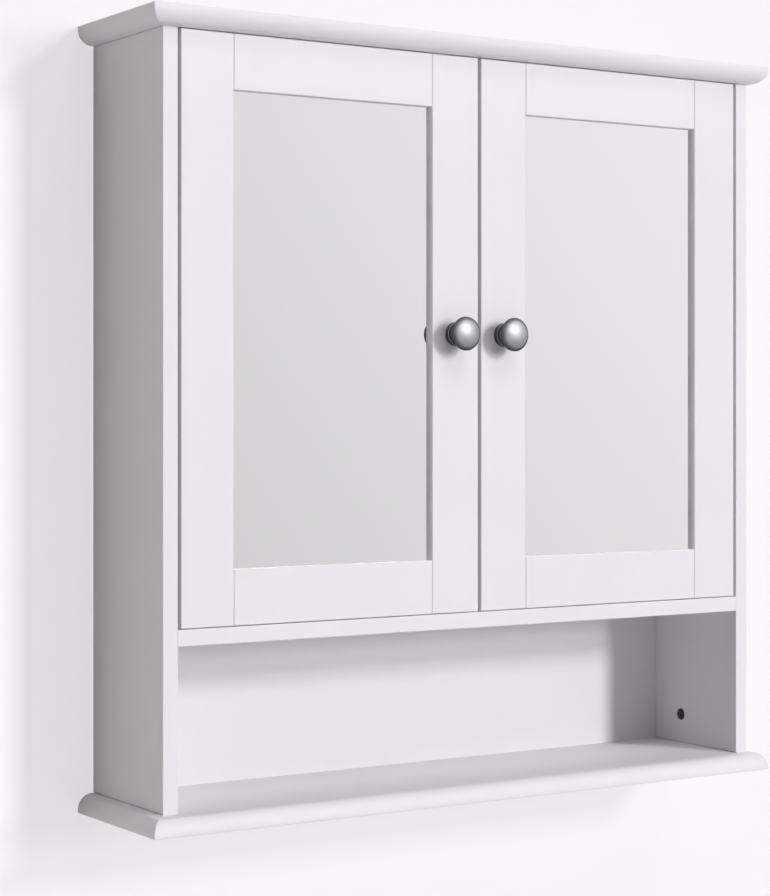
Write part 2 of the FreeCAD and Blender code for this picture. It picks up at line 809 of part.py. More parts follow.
for node, shape in list(left_door.items()) + list(left_fittings.items()):
    shapes["left_" + node] = shape
    shapes["right_" + node] = shape.mirror(V(0, 0, 0), V(1, 0, 0))
keep("hinge_plate_screws", plate_screws + [s.mirror(V(0, 0, 0), V(1, 0, 0)) for s in plate_screws])
keep("hinge_arm_screws", arm_screws + [s.mirror(V(0, 0, 0), V(1, 0, 0)) for s in arm_screws])

# Magnetic catch under the top board, one magnet for each door
catch_half = catch_body_length / 2
ear_half = catch_half + catch_ear_length
magnet_front = front + frame_thickness + strike_thickness + catch_air_gap
catch_front = magnet_front + magnet_proud
section = [
    V(-ear_half, catch_front, ceiling),
    V(ear_half, catch_front, ceiling),
    V(ear_half, catch_front, ceiling - catch_ear_thickness),
    V(catch_half, catch_front, ceiling - catch_ear_thickness),
    V(catch_half, catch_front, ceiling - catch_body_height),
    V(-catch_half, catch_front, ceiling - catch_body_height),
    V(-catch_half, catch_front, ceiling - catch_ear_thickness),
    V(-ear_half, catch_front, ceiling - catch_ear_thickness),
]
housing_face = Part.Face(Part.Wire(Part.makePolygon(section + section[:1]).Edges))
housing = housing_face.extrude(V(0, catch_body_depth, 0))
magnets = []
catch_screws = []
for side in (-1, 1):
    middle = side * magnet_spacing / 2
    magnet = box(
        middle - magnet_width / 2,
        middle + magnet_width / 2,
        magnet_front,
        magnet_front + magnet_length,
        ceiling - magnet_drop - magnet_height / 2,
        ceiling - magnet_drop + magnet_height / 2,
    )
    magnets.append(magnet)
    pocket = box(
        middle - magnet_width / 2 - magnet_fit,
        middle + magnet_width / 2 + magnet_fit,
        magnet_front,
        magnet_front + magnet_length + magnet_fit,
        ceiling - magnet_drop - magnet_height / 2 - magnet_fit,
        ceiling - magnet_drop + magnet_height / 2 + magnet_fit,
    )
    housing = housing.cut(pocket)
    ear_middle = side * (catch_half + catch_ear_length / 2)
    seat = V(ear_middle, catch_front + catch_body_depth / 2, ceiling - catch_ear_thickness)
    hole = screw_hole(seat, UP, catch_screw_length, hinge_screw_diameter)
    housing = housing.cut(hole)
    cut_later("top_board", hole)
    catch_screws.append(
        screw(
            seat,
            UP,
            hinge_screw_head_diameter,
            hinge_screw_head_height,
            hinge_screw_diameter,
            catch_screw_length,
        )
    )
shapes["catch_housing"] = housing
keep("catch_magnets", magnets)
keep("catch_screws", catch_screws)

# All holes and grooves of the carcass, then one file for each piece
for node, tools in cuts.items():
    shapes[node] = shapes[node].cut(tools)

for node, shape in shapes.items():
    shape.exportStep(os.path.join("parts", node + ".step"))
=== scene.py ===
import math

import bmesh
import bpy
from mathutils import Matrix, Vector


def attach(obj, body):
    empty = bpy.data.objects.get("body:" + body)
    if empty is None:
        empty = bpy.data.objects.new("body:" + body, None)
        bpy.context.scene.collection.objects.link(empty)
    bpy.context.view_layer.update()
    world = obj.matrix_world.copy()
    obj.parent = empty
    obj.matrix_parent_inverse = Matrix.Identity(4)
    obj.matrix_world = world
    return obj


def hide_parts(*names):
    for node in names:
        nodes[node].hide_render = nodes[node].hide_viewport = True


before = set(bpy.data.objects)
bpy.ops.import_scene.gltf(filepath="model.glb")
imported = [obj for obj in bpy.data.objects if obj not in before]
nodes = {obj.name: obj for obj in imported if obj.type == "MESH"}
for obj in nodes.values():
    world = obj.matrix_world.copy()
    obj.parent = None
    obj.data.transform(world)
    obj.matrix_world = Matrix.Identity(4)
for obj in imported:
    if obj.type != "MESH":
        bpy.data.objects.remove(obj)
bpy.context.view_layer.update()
scene = bpy.context.scene
MM = 0.001
UP = Vector((0, 0, 1))
FORWARD = Vector((0, -1, 0))
BACKWARD = Vector((0, 1, 0))
RIGHT = Vector((1, 0, 0))

# Sizes and places of the cabinet that the drawn pieces share, in millimetres
BOARD_HALF_WIDTH, BOARD_FRONT = 282.5, -125.0
TOP_LIP, TOP_JOINT = 580.0, 566.0
BOTTOM_LIP, BOTTOM_JOINT = 0.0, 14.0
INNER_FACE = 258.0
HINGE_EDGE, DOOR_FRONT, DOOR_REAR = -255.5, -112.5, -97.5
HINGES = {"upper": 495.4, "lower": 213.6}
KNOB_ASIDE, KNOB_HEIGHT = 22.5, 354.5
MAGNET_ASIDE, MAGNET_HEIGHT = 13.0, 558.0
# each door's side, and whether its pieces are those of the left door mirrored
DOORS = (("left", False), ("right", True))

# Colours and shader nodes


def linear(code):
    """An sRGB hex colour as linear RGBA."""
    parts = [int(code[i:i + 2], 16) / 255 for i in (1, 3, 5)]
    return [c / 12.92 if c <= 0.04045 else ((c + 0.055) / 1.055) ** 2.4 for c in parts] + [1.0]


def put(tree, kind, options=None, values=None, links=None):
    """Adds one node with its options, its socket values and the sockets that feed it."""
    made = tree.nodes.new(kind)
    for name, value in (options or {}).items():
        setattr(made, name, value)
    for name, value in (values or {}).items():
        made.inputs[name].default_value = value
    for name, source in (links or {}).items():
        tree.links.new(source, made.inputs[name])
    return made


def reckon(tree, operation, *terms):
    """One sum on sockets and plain numbers."""
    made = put(tree, "ShaderNodeMath", {"operation": operation})
    for socket, term in zip(made.inputs, terms):
        if isinstance(term, float):
            socket.default_value = term
        else:
            tree.links.new(term, socket)
    return made.outputs[0]


def span(tree, source, start, end, low, high, kind="LINEAR"):
    """Carries a value over from one range to another, and holds it at both ends."""
    made = put(
        tree,
        "ShaderNodeMapRange",
        {"interpolation_type": kind},
        {"From Min": start, "From Max": end, "To Min": low, "To Max": high},
        {"Value": source},
    )
    return made.outputs["Result"]


def noise(tree, place, scale, detail):
    """Soft noise from 0 to 1, its scale in swells per metre."""
    made = put(tree, "ShaderNodeTexNoise", values={"Scale": scale, "Detail": detail}, links={"Vector": place})
    return made.outputs["Fac"]


def two_tones(tree, source, dark, pale, start=0.35, end=0.65):
    """Two colours shared out by a pattern."""
    ramp = put(tree, "ShaderNodeValToRGB", links={"Fac": source})
    for stop, place, colour in zip(ramp.color_ramp.elements, (start, end), (dark, pale)):
        stop.position = place
        stop.color = linear(colour)
    return ramp.outputs["Color"]


def new_material(name):
    """An empty material with its shader and the piece's own coordinates."""
    made = bpy.data.materials.new(name)
    made.use_nodes = True
    tree = made.node_tree
    shader = tree.nodes["Principled BSDF"]
    place = put(tree, "ShaderNodeTexCoord").outputs["Object"]
    return made, tree, shader, place


def set_gloss(tree, shader, source, smooth, rough):
    """Roughness between two values, shared out by a pattern."""
    tree.links.new(span(tree, source, 0.0, 1.0, smooth, rough), shader.inputs["Roughness"])


def set_relief(tree, shader, source, strength, height):
    """Fine relief from a pattern, its height in millimetres."""
    bump = put(
        tree,
        "ShaderNodeBump",
        values={"Strength": strength, "Distance": height * MM},
        links={"Height": source},
    )
    tree.links.new(bump.outputs["Normal"], shader.inputs["Normal"])


# Materials


def satin_lacquer():
    """White polyurethane lacquer sprayed on fibreboard: a soft wide sheen, and a faint orange peel."""
    made, tree, shader, place = new_material("satin_white_lacquer")
    shader.inputs["IOR"].default_value = 1.5
    # cloudiness of the sprayed coat, about 90 mm across
    cloud = noise(tree, place, 11.0, 3.0)
    tree.links.new(two_tones(tree, cloud, "#E8E5E9", "#EAE7EB"), shader.inputs["Base Color"])
    set_gloss(tree, shader, cloud, 0.50, 0.60)
    # orange peel, about 1.5 mm from bump to bump
    set_relief(tree, shader, noise(tree, place, 650.0, 1.0), 0.12, 0.02)
    return made


def faced_hardboard(name, rear):
    """Wet-process hardboard, painted white in front. What lies behind the rear, a depth in millimetres,
    is bare and brown, with short pressed fibres."""
    made, tree, shader, place = new_material(name)
    shader.inputs["IOR"].default_value = 1.5
    # fibres, really about 0.3 mm wide, drawn 1.2 mm wide and 4 mm long so that they show
    across = put(tree, "ShaderNodeMapping", values={"Scale": (830, 830, 250)}, links={"Vector": place})
    fibre = noise(tree, across.outputs[0], 1.0, 4.0)
    # the pulp's own shade, which drifts over about 150 mm
    pulp = noise(tree, place, 7.0, 3.0)
    mixed = put(tree, "ShaderNodeMix", values={"Factor": 0.35}, links={"A": fibre, "B": pulp})
    brown = two_tones(tree, mixed.outputs[0], "#7A593C", "#A88560", 0.3, 0.7)
    white = two_tones(tree, pulp, "#E7E4E8", "#EAE7EB")
    depth = put(tree, "ShaderNodeSeparateXYZ", links={0: place}).outputs["Y"]
    bare = reckon(tree, "GREATER_THAN", depth, rear * MM)
    colour = put(tree, "ShaderNodeMix", {"data_type": "RGBA"}, links={0: bare, 6: white, 7: brown})
    tree.links.new(colour.outputs[2], shader.inputs["Base Color"])
    # the bare board is rougher than the paint, and its fibres stand up
    painted = span(tree, pulp, 0.0, 1.0, 0.55, 0.62)
    tree.links.new(reckon(tree, "MULTIPLY_ADD", bare, 0.2, painted), shader.inputs["Roughness"])
    set_relief(tree, shader, reckon(tree, "MULTIPLY", bare, fibre), 0.35, 0.08)
    return made


def silvered_float_glass():
    """Clear float glass silvered on its rear: a sharp reflection with a faint grey cast."""
    made, tree, shader, place = new_material("silvered_float_glass")
    shader.inputs["Base Color"].default_value = linear("#F1EFF1")
    shader.inputs["Metallic"].default_value = 1.0
    # wiping marks too faint to see as such, about 40 mm across
    set_gloss(tree, shader, noise(tree, place, 25.0, 2.0), 0.012, 0.03)
    return made


def plated_metal(name, dark, pale, roughness, spread, grit):
    """Plated metal: smooth, its tone and gloss varying a little from place to place, grit in millimetres."""
    made, tree, shader, place = new_material(name)
    shader.inputs["Metallic"].default_value = 1.0
    grain = noise(tree, place, 1 / (grit * MM), 2.0)
    tree.links.new(two_tones(tree, grain, dark, pale), shader.inputs["Base Color"])
    set_gloss(tree, shader, grain, roughness - spread, roughness + spread)
    return made


def buffed_nickel():
    """Nickel plate on a zinc casting, buffed to a soft gloss. Its colour carries painted shade, darker and
    rougher in the grooves of the neck, and a painted dark reflection towards the rim of the head. It is read
    on both knobs."""
    made, tree, shader, place = new_material("buffed_nickel_plate")
    shader.inputs["Metallic"].default_value = 1.0
    shader.inputs["Specular Tint"].default_value = (0.02, 0.02, 0.025, 1)
    split = put(tree, "ShaderNodeSeparateXYZ", links={0: place}).outputs
    aside = reckon(tree, "ABSOLUTE", split["X"])
    across = put(tree, "ShaderNodeCombineXYZ", links={"X": aside, "Z": split["Z"]}).outputs[0]
    axis = (KNOB_ASIDE * MM, 0, KNOB_HEIGHT * MM)
    radius = put(tree, "ShaderNodeVectorMath", {"operation": "DISTANCE"}, {1: axis}, {0: across})
    radius = radius.outputs["Value"]
    # painted shade in the grooves of the neck, and a painted dark reflection growing towards the rim of the
    # head
    groove = span(tree, radius, 9.12 * MM, 9.05 * MM, 0.0, 1.0)
    neck = span(tree, split["Y"], (DOOR_FRONT - 10.2) * MM, (DOOR_FRONT - 9.5) * MM, 0.0, 1.0)
    rim = span(tree, radius, 8.8 * MM, 12.5 * MM, 0.0, 1.0, "SMOOTHSTEP")
    painted_shade_and_reflection = reckon(tree, "MAXIMUM", reckon(tree, "MULTIPLY", groove, neck), rim)
    # marks of the wheel, really under 0.1 mm, drawn 0.8 mm wide
    marks = noise(tree, place, 1250.0, 2.0)
    bright = two_tones(tree, marks, "#A0A0A4", "#A8A8AC")
    # where the painted shade and dark reflection lie, the nickel is mixed towards a dark grey
    colour = put(tree, "ShaderNodeMix", {"data_type": "RGBA"}, links={0: painted_shade_and_reflection, 6: bright})
    colour.inputs[7].default_value = linear("#5C5B60")
    tree.links.new(colour.outputs[2], shader.inputs["Base Color"])
    buffed = span(tree, marks, 0.0, 1.0, 0.55, 0.6)
    tree.links.new(reckon(tree, "MULTIPLY_ADD", painted_shade_and_reflection, 0.12, buffed), shader.inputs["Roughness"])
    return made


def moulded_polypropylene():
    """White polypropylene from a spark-eroded mould: waxy, with a fine even grain."""
    made, tree, shader, place = new_material("moulded_white_polypropylene")
    shader.inputs["IOR"].default_value = 1.49
    # spark grain, really 0.1 mm, drawn 0.4 mm so that it shows
    grain = noise(tree, place, 2500.0, 1.0)
    tree.links.new(two_tones(tree, grain, "#DEDDDA", "#E6E5E2"), shader.inputs["Base Color"])
    set_gloss(tree, shader, grain, 0.42, 0.55)
    set_relief(tree, shader, grain, 0.2, 0.03)
    return made


def turned_beech():
    """Steamed beech, turned and fluted for dowels: pinkish tan with short dark flecks."""
    made, tree, shader, place = new_material("steamed_beech")
    shader.inputs["IOR"].default_value = 1.5
    # flecks 0.4 mm wide and 3 mm long
    along = put(tree, "ShaderNodeMapping", values={"Scale": (350, 2500, 2500)}, links={"Vector": place})
    fleck = noise(tree, along.outputs[0], 1.0, 3.0)
    tree.links.new(two_tones(tree, fleck, "#A9764C", "#CFA47C"), shader.inputs["Base Color"])
    set_gloss(tree, shader, fleck, 0.6, 0.75)
    return made


# The paint of the back panel ends 7 mm in front of the wall, just short of its rear face. The backing of the
# doors is white on both sides, so its bare part would start far behind it.
BACK_BOARD = faced_hardboard("white_faced_hardboard", -7.0)
BACKING_BOARD = faced_hardboard("white_hardboard_backing", 1000.0)
FINISH = {
    "white_lacquer": satin_lacquer(),
    "white_board": BACKING_BOARD,
    "white_plastic": moulded_polypropylene(),
    "silvered_glass": silvered_float_glass(),
    "satin_nickel": buffed_nickel(),
    "nickel_plate": plated_metal("bright_nickel_plated_steel", "#C2BEB6", "#CECAC3", 0.22, 0.04, 2.0),
    "zinc_plated_steel": plated_metal("blue_zinc_plated_steel", "#ADB1B7", "#BBBEC2", 0.35, 0.06, 1.5),
    "zinc": plated_metal("black_zinc_die_casting", "#4A494B", "#5A595B", 0.5, 0.08, 0.6),
    "magnet_steel": plated_metal("ground_steel_pole_plates", "#77787B", "#8E8F92", 0.42, 0.06, 0.5),
    "beech": turned_beech(),
}
for carried in nodes.values():
    for place, used in enumerate(carried.data.materials):
        carried.material_slots[place].material = FINISH[used.name.split(".")[0]]
nodes["back_panel"].material_slots[0].material = BACK_BOARD

# Drawing and fitting of new pieces, in millimetres


def fit_piece(bm, name, body, slot, stands_for, mirrored=False):
    """A drawn shape becomes a piece that rides on a body and stands for its CAD nodes."""
    bmesh.ops.remove_doubles(bm, verts=bm.verts, dist=0.002)
    side = -MM if mirrored else MM
    bmesh.ops.scale(bm, vec=(side, MM, MM), verts=bm.verts)
    bmesh.ops.recalc_face_normals(bm, faces=bm.faces)
    mesh = bpy.data.meshes.new(name)
    bm.to_mesh(mesh)
    bm.free()
    mesh.shade_smooth()
    mesh.set_sharp_from_angle(angle=math.radians(32))
    mesh.materials.append(FINISH[slot])
    made = bpy.data.objects.new(name, mesh)
    scene.collection.objects.link(made)
    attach(made, body)
    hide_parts(*stands_for)
    return made


def ease_edges(made, width):
    """Takes the sharpness off every hard edge of a piece."""
    ease = made.modifiers.new("eased_edges", "BEVEL")
    ease.width = width * MM
    ease.segments = 2
    ease.limit_method = "ANGLE"
    ease.angle_limit = math.radians(40)
    ease.harden_normals = True


def round_off(bm, geom, radius, steps, affect="EDGES"):
    """Rounds edges or corners to a radius."""
    bmesh.ops.bevel(bm, geom=geom, offset=radius, segments=steps, profile=0.5, affect=affect, material=-1)


def push_out(bm, faces, way):
    """Extrudes faces along a way, and gives back the corners that moved."""
    made = bmesh.ops.extrude_face_region(bm, geom=faces)["geom"]
    moved = [part for part in made if isinstance(part, bmesh.types.BMVert)]
    bmesh.ops.translate(bm, vec=way, verts=moved)
    return moved


def score(bm, faces, point, across):
    """Cuts faces in two along a plane."""
    edges = {e for f in faces for e in f.edges}
    corners = {v for f in faces for v in f.verts}
    geom = faces + list(edges) + list(corners)
    bmesh.ops.bisect_plane(bm, geom=geom, plane_co=point, plane_no=across)


def turned(bm, moves, seat, along, steps=48):
    """Turns an outline about an axis. A move of two numbers is a straight run to (radius, distance),
    and one of three is an arc about (radius, distance) through an angle in degrees."""
    seat = Vector(seat)
    out = along.orthogonal().normalized()
    before = set(bm.verts)
    pen = None
    for move in moves:
        place = seat + out * move[0] + along * move[1]
        if len(move) == 3:
            swept = bmesh.ops.spin(
                bm,
                geom=[pen],
                cent=place,
                axis=out.cross(along),
                angle=math.radians(move[2]),
                steps=max(2, round(abs(move[2]) / 6)),
            )
            pen = swept["geom_last"][0]
        else:
            after = bm.verts.new(place)
            if pen:
                bm.edges.new((pen, after))
            pen = after
    line = [v for v in bm.verts if v not in before]
    edges = list({e for v in line for e in v.link_edges})
    full_turn = 2 * math.pi
    bmesh.ops.spin(
        bm, geom=line + edges, cent=seat, axis=along, angle=full_turn, steps=steps, use_merge=True
    )


def block(bm, low, high, corner=0.0, along=UP):
    """A block between two corners, its edges along one axis rounded."""
    low, high = Vector(low), Vector(high)
    size = Matrix.Diagonal((high - low).to_4d())
    made = bmesh.ops.create_cube(bm, size=1.0, matrix=Matrix.Translation((low + high) / 2) @ size)
    if corner:
        edges = {e for v in made["verts"] for e in v.link_edges}
        edges = [e for e in edges if abs((e.verts[0].co - e.verts[1].co).normalized().dot(along)) > 0.9]
        round_off(bm, edges, corner, 6)


def stamp(bm, pattern, seat, facing):
    """Sets a copy of a pattern, drawn standing on z = 0, on a seat."""
    before = set(bm.verts)
    bm.from_mesh(pattern)
    turn = Vector(facing).to_track_quat("Z", "Y").to_matrix().to_4x4()
    fresh = [v for v in bm.verts if v not in before]
    bmesh.ops.transform(bm, matrix=Matrix.Translation(seat) @ turn, verts=fresh)


def cone(bm, sides, foot, top, height, middle):
    """A cone or rod about the z axis, by its two radii, its height and where its middle is."""
    bmesh.ops.create_cone(
        bm,
        cap_ends=True,
        segments=sides,
        radius1=foot,
        radius2=top,
        depth=height,
        matrix=Matrix.Translation((0, 0, middle)),
    )


def cross_head_pattern(name, head, height, crown, slot, deep, shank, length):
    """A screw that stands on z = 0: a head with a rounded crown and a cross recess, and its shank below.
    Head and shank are diameters, slot is the reach of the cross from the middle, and deep its depth."""
    bm = bmesh.new()
    cone(bm, 24, head / 2, head / 2, height, height / 2)
    rim = [e for e in bm.edges if all(v.co.z > height * 0.9 for v in e.verts)]
    round_off(bm, rim, crown, 4)
    flat = max(bm.faces, key=lambda f: f.calc_center_median().z)
    bmesh.ops.inset_region(bm, faces=[flat], thickness=head / 2 - crown - slot)

    def disc():
        """Faces of the flat disc that the cross is cut in."""
        level = [f for f in bm.faces if f.normal.z > 0.99]
        return [f for f in level if f.calc_center_median().to_2d().length < slot * 0.95]

    half = slot * 0.24
    for across in (RIGHT, BACKWARD):
        for side in (-half, half):
            score(bm, disc(), across * side, across)
    recess = [f for f in disc() if min(abs(c) for c in f.calc_center_median().to_2d()) < half * 0.9]
    sunk = push_out(bm, recess, (0, 0, -deep))
    bmesh.ops.scale(bm, vec=(0.72, 0.72, 1), verts=sunk)
    bmesh.ops.delete(bm, geom=[f for f in recess if f.is_valid], context="FACES")
    if length:
        cone(bm, 16, shank * 0.2, shank / 2, length, 0.2 - length / 2)
    mesh = bpy.data.meshes.new(name)
    bm.to_mesh(mesh)
    bm.free()
    return mesh


# Top and bottom boards: a flat lip and a quarter-round moulding on the front and both ends


def moulded_board(bm, lip, joint):
    """Board from its lip face to its joint face, in z."""
    low, high = sorted((lip, joint))
    block(bm, (-BOARD_HALF_WIDTH, BOARD_FRONT, low), (BOARD_HALF_WIDTH, 0.0, high))
    for level, radius, steps in ((joint, 11.5, 14), (lip, 0.8, 3)):
        shown = [e for e in bm.edges if any(v.co.y < -1 for v in e.verts)]
        round_off(bm, [e for e in shown if all(abs(v.co.z - level) < 0.1 for v in e.verts)], radius, steps)


for name, node, lip, joint in (
    ("moulded_top", "top_board", TOP_LIP, TOP_JOINT),
    ("moulded_bottom", "bottom_board", BOTTOM_LIP, BOTTOM_JOINT),
):
    bm = bmesh.new()
    moulded_board(bm, lip, joint)
    fit_piece(bm, name, "carcass", "white_lacquer", [node])

# Turned knobs: a base, a neck with two rings, and a domed head
KNOB_OUTLINE = [(0, 0), (9.05, 0), (9.05, 0.9), (8.75, 0.9, 90), (7.9, 1.7)]
for ring in (4.2, 8.4):
    KNOB_OUTLINE += [(7.9, ring - 1.0), (8.55, ring - 0.75), (8.55, ring, 180), (7.9, ring + 1.0)]
KNOB_OUTLINE += [(7.9, 10.6), (8.3, 11.0), (12.2, 13.261), (11.6, 14.3, 100.075), (0.0, 4.541, 49.925)]
for side, mirrored in DOORS:
    bm = bmesh.new()
    turned(bm, KNOB_OUTLINE, (-KNOB_ASIDE, DOOR_FRONT, KNOB_HEIGHT), FORWARD, 72)
    fit_piece(bm, side + "_turned_knob", side + "_door", "satin_nickel", [side + "_knob"], mirrored)

# Screws and cam locks with cross recesses
HINGE_SCREW = cross_head_pattern("hinge_screw", 6.4, 1.7, 1.1, 1.75, 1.0, 3.5, 10.0)
ARM_SCREW = cross_head_pattern("arm_screw", 6.4, 1.7, 1.1, 1.75, 1.0, 3.5, 5.0)
KNOB_SCREW = cross_head_pattern("knob_screw", 8.0, 2.0, 1.4, 2.2, 1.2, 4.0, 22.0)
STRIKE_SCREW = cross_head_pattern("strike_screw", 5.0, 1.0, 0.2, 1.5, 0.6, 3.0, 9.0)
CAM_FACE = cross_head_pattern("cam_face", 9.9, 9.4, 0.5, 2.6, 0.5, 0.0, 0.0)

# Door fittings, drawn for the left door and mirrored for the right: u runs from the door's hinge edge, and
# v from its front to its rear
PIN_U, PIN_V = 10.0, 6.5
CUP_U, CUP_RIM_V = 18.0, 15.0
EAR_REACH, EAR_SCREW_U = 19.0, 22.0
ARM_HALF_WIDTH = 5.0


def on_door(u, v, z):
    """A point u from the left door's hinge edge and v behind its front."""
    return Vector((HINGE_EDGE + u, DOOR_FRONT + v, z))


def hinge_cup(bm, z):
    """Pressed cup with a rolled rim, two screw ears and two lugs for the pin."""
    mouth = on_door(CUP_U, CUP_RIM_V, z)
    cup = [(0, 11.9), (11.5, 11.9), (11.5, 10.4, -90), (13.0, 0), (14.2, 0), (14.2, -0.6), (13.8, -0.6, -90)]
    cup += [(12.7, -1.0), (12.7, -0.5, -90), (12.2, 9.9), (11.0, 9.9, 90), (0, 11.1)]
    turned(bm, cup, mouth, FORWARD)
    for end in (-1, 1):
        ear = [(9.5, 9.2), (4.6, 12.5), (-1.5, 13.2), (-1.5, EAR_REACH)]
        corners = [bm.verts.new(mouth + Vector((u, 0, end * w))) for u, w in ear]
        edges = [bm.edges.new(pair) for pair in zip(corners, corners[1:])]
        tip = mouth + Vector((EAR_SCREW_U - CUP_U, 0, end * EAR_REACH))
        bow = bmesh.ops.spin(
            bm, geom=[corners[-1]], cent=tip, axis=BACKWARD, angle=end * math.pi, steps=16
        )
        last = bow["geom_last"][0]
        edges.append(bm.edges.new((last, corners[0])))
        chain = {e for v in bm.verts if (v.co - tip).length < 5.6 for e in v.link_edges if e.is_wire}
        face = bmesh.ops.contextual_create(bm, geom=list(chain | set(edges)))["faces"]
        push_out(bm, face, (0, 0.9, 0))
        low, high = sorted((z + end * 5.4, z + end * 7.0))
        block(bm, on_door(7.5, 3.0, low), on_door(12.5, 9.0, high), 2.2)


def hinge_arm(bm, z):
    """Strip bent like a goose neck, from the eye on the pin to its flat on the mounting plate."""
    foot = z - ARM_HALF_WIDTH
    bends = [(11.6, 7.75, 0), (20.9, 7.75, 1.35), (20.9, 20.224, 1.35), (0.5, 20.224, 3.85), (0.5, 70.0, 0)]
    line = [bm.verts.new(on_door(u, v, foot)) for u, v, _ in bends]
    for pair in zip(line, line[1:]):
        bm.edges.new(pair)
    for corner, (_, _, radius) in zip(line, bends):
        if radius:
            round_off(bm, [corner], radius, 7, "VERTICES")
    strip = bmesh.ops.extrude_edge_only(bm, edges=list(bm.edges))["geom"]
    upper = [part for part in strip if isinstance(part, bmesh.types.BMVert)]
    bmesh.ops.translate(bm, vec=UP * 2 * ARM_HALF_WIDTH, verts=upper)
    bmesh.ops.recalc_face_normals(bm, faces=bm.faces)
    flat = max(bm.faces, key=lambda f: f.calc_center_median().y)
    if flat.normal.x < 0:
        bmesh.ops.reverse_faces(bm, faces=bm.faces)
    bmesh.ops.solidify(bm, geom=list(bm.faces), thickness=-2.5)
    wide = 2 * ARM_HALF_WIDTH
    eye = [(1.3, 0), (2.3, 0), (2.3, wide), (1.3, wide), (1.3, 0)]
    turned(bm, eye, on_door(PIN_U, PIN_V, foot), UP, 32)


def mounting_plate(bm, z):
    """Plate with two screw wings, flat on the side panel."""
    block(bm, on_door(-2.5, 28.0, z - 8.0), on_door(0.5, 68.0, z + 8.0), 3.0, RIGHT)
    block(bm, on_door(-2.5, 31.0, z - 24.0), on_door(-0.5, 43.0, z + 24.0), 3.5, RIGHT)


PIN_ROD = [(0, -8.8), (1.0, -8.8), (1.25, -8.5), (1.25, 8.5), (1.0, 8.8), (0, 8.8)]
for side, mirrored in DOORS:
    door = side + "_door"
    cups, pins, cup_screws, knob_screw = (bmesh.new() for _ in range(4))
    for level, z in HINGES.items():
        hinge_cup(cups, z)
        turned(pins, PIN_ROD, on_door(PIN_U, PIN_V, z), UP, 24)
        for end in (-1, 1):
            stamp(cup_screws, HINGE_SCREW, on_door(EAR_SCREW_U, 16.0, z + end * EAR_REACH), BACKWARD)
        hinge = side + "_" + level + "_hinge_"
        arm, plate = bmesh.new(), bmesh.new()
        hinge_arm(arm, z)
        made = fit_piece(arm, hinge + "goose_neck", "carcass", "nickel_plate", [hinge + "arm"], mirrored)
        ease_edges(made, 0.3)
        mounting_plate(plate, z)
        made = fit_piece(plate, hinge + "mount", "carcass", "nickel_plate", [hinge + "plate"], mirrored)
        ease_edges(made, 0.35)
    stamp(knob_screw, KNOB_SCREW, (-KNOB_ASIDE, DOOR_REAR, KNOB_HEIGHT), BACKWARD)
    for bm, name, slot, node in (
        (cups, "_pressed_cups", "nickel_plate", "_hinge_cups"),
        (pins, "_turned_pins", "zinc_plated_steel", "_hinge_pins"),
        (cup_screws, "_cup_cross_screws", "zinc_plated_steel", "_cup_screws"),
        (knob_screw, "_knob_cross_screw", "zinc_plated_steel", "_knob_screw"),
    ):
        fit_piece(bm, side + name, door, slot, [side + node], mirrored)

# Screws of the hinge plates and arms, on both side panels
WING_FACE, WING_SCREW_Y, WING_SCREW_REACH = INNER_FACE - 2.0, -75.5, 16.0
ARM_FACE, ARM_SCREWS_Y = INNER_FACE - 5.5, (-80.5, -52.5)
plate_screws, arm_screws = bmesh.new(), bmesh.new()
for side in (-1, 1):
    for z in HINGES.values():
        for end in (-1, 1):
            seat = (side * WING_FACE, WING_SCREW_Y, z + end * WING_SCREW_REACH)
            stamp(plate_screws, HINGE_SCREW, seat, (-side, 0, 0))
        for y in ARM_SCREWS_Y:
            stamp(arm_screws, ARM_SCREW, (side * ARM_FACE, y, z), (-side, 0, 0))
fit_piece(plate_screws, "plate_cross_screws", "carcass", "zinc_plated_steel", ["hinge_plate_screws"])
fit_piece(arm_screws, "arm_cross_screws", "carcass", "zinc_plated_steel", ["hinge_arm_screws"])

# Cam locks, each on the floor of its pocket: low and high in the side panels, under the fixed shelf,
# and in the front of the hanging rail
cams = bmesh.new()
for side in (-1, 1):
    stamp(cams, CAM_FACE, (side * 267.8, -42.5, 38.0), (-side, 0, 0))
    stamp(cams, CAM_FACE, (side * 267.8, -42.5, 542.0), (-side, 0, 0))
    stamp(cams, CAM_FACE, (side * 234.0, -42.5, 140.8), -UP)
    stamp(cams, CAM_FACE, (side * 234.0, -11.7, 530.0), FORWARD)
fit_piece(cams, "turned_cam_locks", "carcass", "zinc", ["cam_locks"])

# Shelf pins, each with a shank in the side panel, a collar, and a flat-topped rest under the shelf
SHELF_PIN_HEIGHT, SHELF_PINS_Y = 348.0, (-75.5, -22.0)


def shelf_pin(bm, seat, inward):
    """One pin, seated on the panel's inner face."""
    shank = [(0, -8.0), (2.0, -8.0), (2.45, -7.4), (2.45, 0)]
    collar = [(4.0, 0), (4.0, 0.8), (3.6, 0.8, 90), (0, 1.2)]
    turned(bm, shank + collar, seat, inward, 32)
    before = set(bm.verts)
    turned(bm, [(0, 0.6), (3.0, 0.6), (3.0, 7.4), (2.4, 7.4, 90), (0, 8.0)], seat, inward, 32)
    rest = [v for v in bm.verts if v not in before]
    edges = {e for v in rest for e in v.link_edges}
    faces = {f for v in rest for f in v.link_faces}
    geom = rest + list(edges) + list(faces)
    cut = bmesh.ops.bisect_plane(bm, geom=geom, plane_co=seat + UP, plane_no=UP, clear_outer=True)
    rim = [e for e in cut["geom_cut"] if isinstance(e, bmesh.types.BMEdge)]
    bmesh.ops.contextual_create(bm, geom=rim)


pins = bmesh.new()
for side in (-1, 1):
    for y in SHELF_PINS_Y:
        shelf_pin(pins, Vector((side * INNER_FACE, y, SHELF_PIN_HEIGHT)), RIGHT * -side)
fit_piece(pins, "turned_shelf_pins", "carcass", "zinc_plated_steel", ["shelf_pins"])

